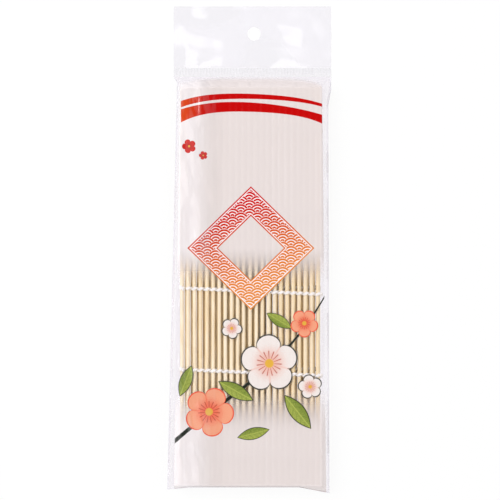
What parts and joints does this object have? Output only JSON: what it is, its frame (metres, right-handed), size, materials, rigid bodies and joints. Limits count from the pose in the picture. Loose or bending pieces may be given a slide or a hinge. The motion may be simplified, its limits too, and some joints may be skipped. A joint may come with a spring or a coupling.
{
  "type": "bamboo sushi rolling mat in a header bag",
  "caption": "Bamboo rolling mat of round sticks twined with cotton cord, folded in three in a clear film bag whose header has a hang hole.",
  "frame": {"origin": "under the middle of the pack, on the surface that it lies on", "axes": "+X to the right and +Y towards the header as seen from the front, +Z out of the front of the pack"},
  "size_m": [0.0984, 0.292, 0.0119],
  "materials": {
    "bag_film": "clear polypropylene film, printed on the front in white, red and orange",
    "welded_film": "clear film hazed by heat welding",
    "header_film": "clear film in two plies, slightly milky",
    "bamboo": "plain planed bamboo, unvarnished",
    "cotton_cord": "undyed cotton twine"
  },
  "bodies": {
    "bag": {"back_film": "bag_film", "front_film": "bag_film", "side_seam_left": "welded_film", "side_seam_right": "welded_film", "bottom_seam": "welded_film", "crimp": "welded_film"},
    "header": {"header_back": "header_film", "header_front": "header_film"},
    "mat_bottom": {"sticks_bottom_1": "bamboo", "sticks_bottom_2": "bamboo", "sticks_bottom_3": "bamboo", "sticks_bottom_4": "bamboo", "sticks_bottom_5": "bamboo", "sticks_bottom_6": "bamboo", "sticks_bottom_7": "bamboo", "cord_bottom_1": "cotton_cord", "cord_bottom_2": "cotton_cord", "cord_bottom_3": "cotton_cord", "cord_bottom_4": "cotton_cord", "cord_bottom_5": "cotton_cord"},
    "fold_right": {"stick_fold_right": "bamboo", "cord_rings_right": "cotton_cord"},
    "mat_middle": {"sticks_middle_1": "bamboo", "sticks_middle_2": "bamboo", "sticks_middle_3": "bamboo", "sticks_middle_4": "bamboo", "sticks_middle_5": "bamboo", "sticks_middle_6": "bamboo", "sticks_middle_7": "bamboo", "sticks_middle_8": "bamboo", "cord_middle_1": "cotton_cord", "cord_middle_2": "cotton_cord", "cord_middle_3": "cotton_cord", "cord_middle_4": "cotton_cord", "cord_middle_5": "cotton_cord"},
    "fold_left": {"stick_fold_left": "bamboo", "cord_rings_left": "cotton_cord"},
    "mat_top": {"sticks_top_1": "bamboo", "sticks_top_2": "bamboo", "sticks_top_3": "bamboo", "sticks_top_4": "bamboo", "sticks_top_5": "bamboo", "sticks_top_6": "bamboo", "sticks_top_7": "bamboo", "sticks_top_8": "bamboo", "cord_top_1": "cotton_cord", "cord_top_2": "cotton_cord", "cord_top_3": "cotton_cord", "cord_top_4": "cotton_cord", "cord_top_5": "cotton_cord"}
  },
  "joints": [
    {"name": "header_fold", "type": "hinge", "parent": "bag", "child": "header", "pos_m": [0, 0.1094, 0], "axis": [1, 0, 0], "range_deg": [-170, 0]},
    {"name": "mat_slide", "type": "slide", "parent": "bag", "child": "mat_bottom", "axis": [0, 1, 0], "range_m": [0, 0.29], "deforming": ["front_film"]},
    {"name": "mat_unfold", "type": "hinge", "parent": "mat_bottom", "child": "fold_right", "pos_m": [0.0412, 0, 0.00228], "axis": [0, 1, 0], "range_deg": [0, 90], "deforming": ["front_film"]},
    {"name": "unfold_right", "type": "hinge", "parent": "fold_right", "child": "mat_middle", "pos_m": [0.0412, 0, 0.00598], "axis": [0, 1, 0], "range_deg": [0, 90]},
    {"name": "turn_left", "type": "hinge", "parent": "mat_middle", "child": "fold_left", "pos_m": [-0.0402, 0, 0.00598], "axis": [0, -1, 0], "range_deg": [0, 90]},
    {"name": "unfold_left", "type": "hinge", "parent": "fold_left", "child": "mat_top", "pos_m": [-0.0402, 0, 0.00968], "axis": [0, -1, 0], "range_deg": [0, 90]}
  ],
  "couplings": [
    {"joint": "unfold_right", "follows": "mat_unfold", "ratio": 1},
    {"joint": "turn_left", "follows": "mat_unfold", "ratio": 1},
    {"joint": "unfold_left", "follows": "mat_unfold", "ratio": 1}
  ]
}
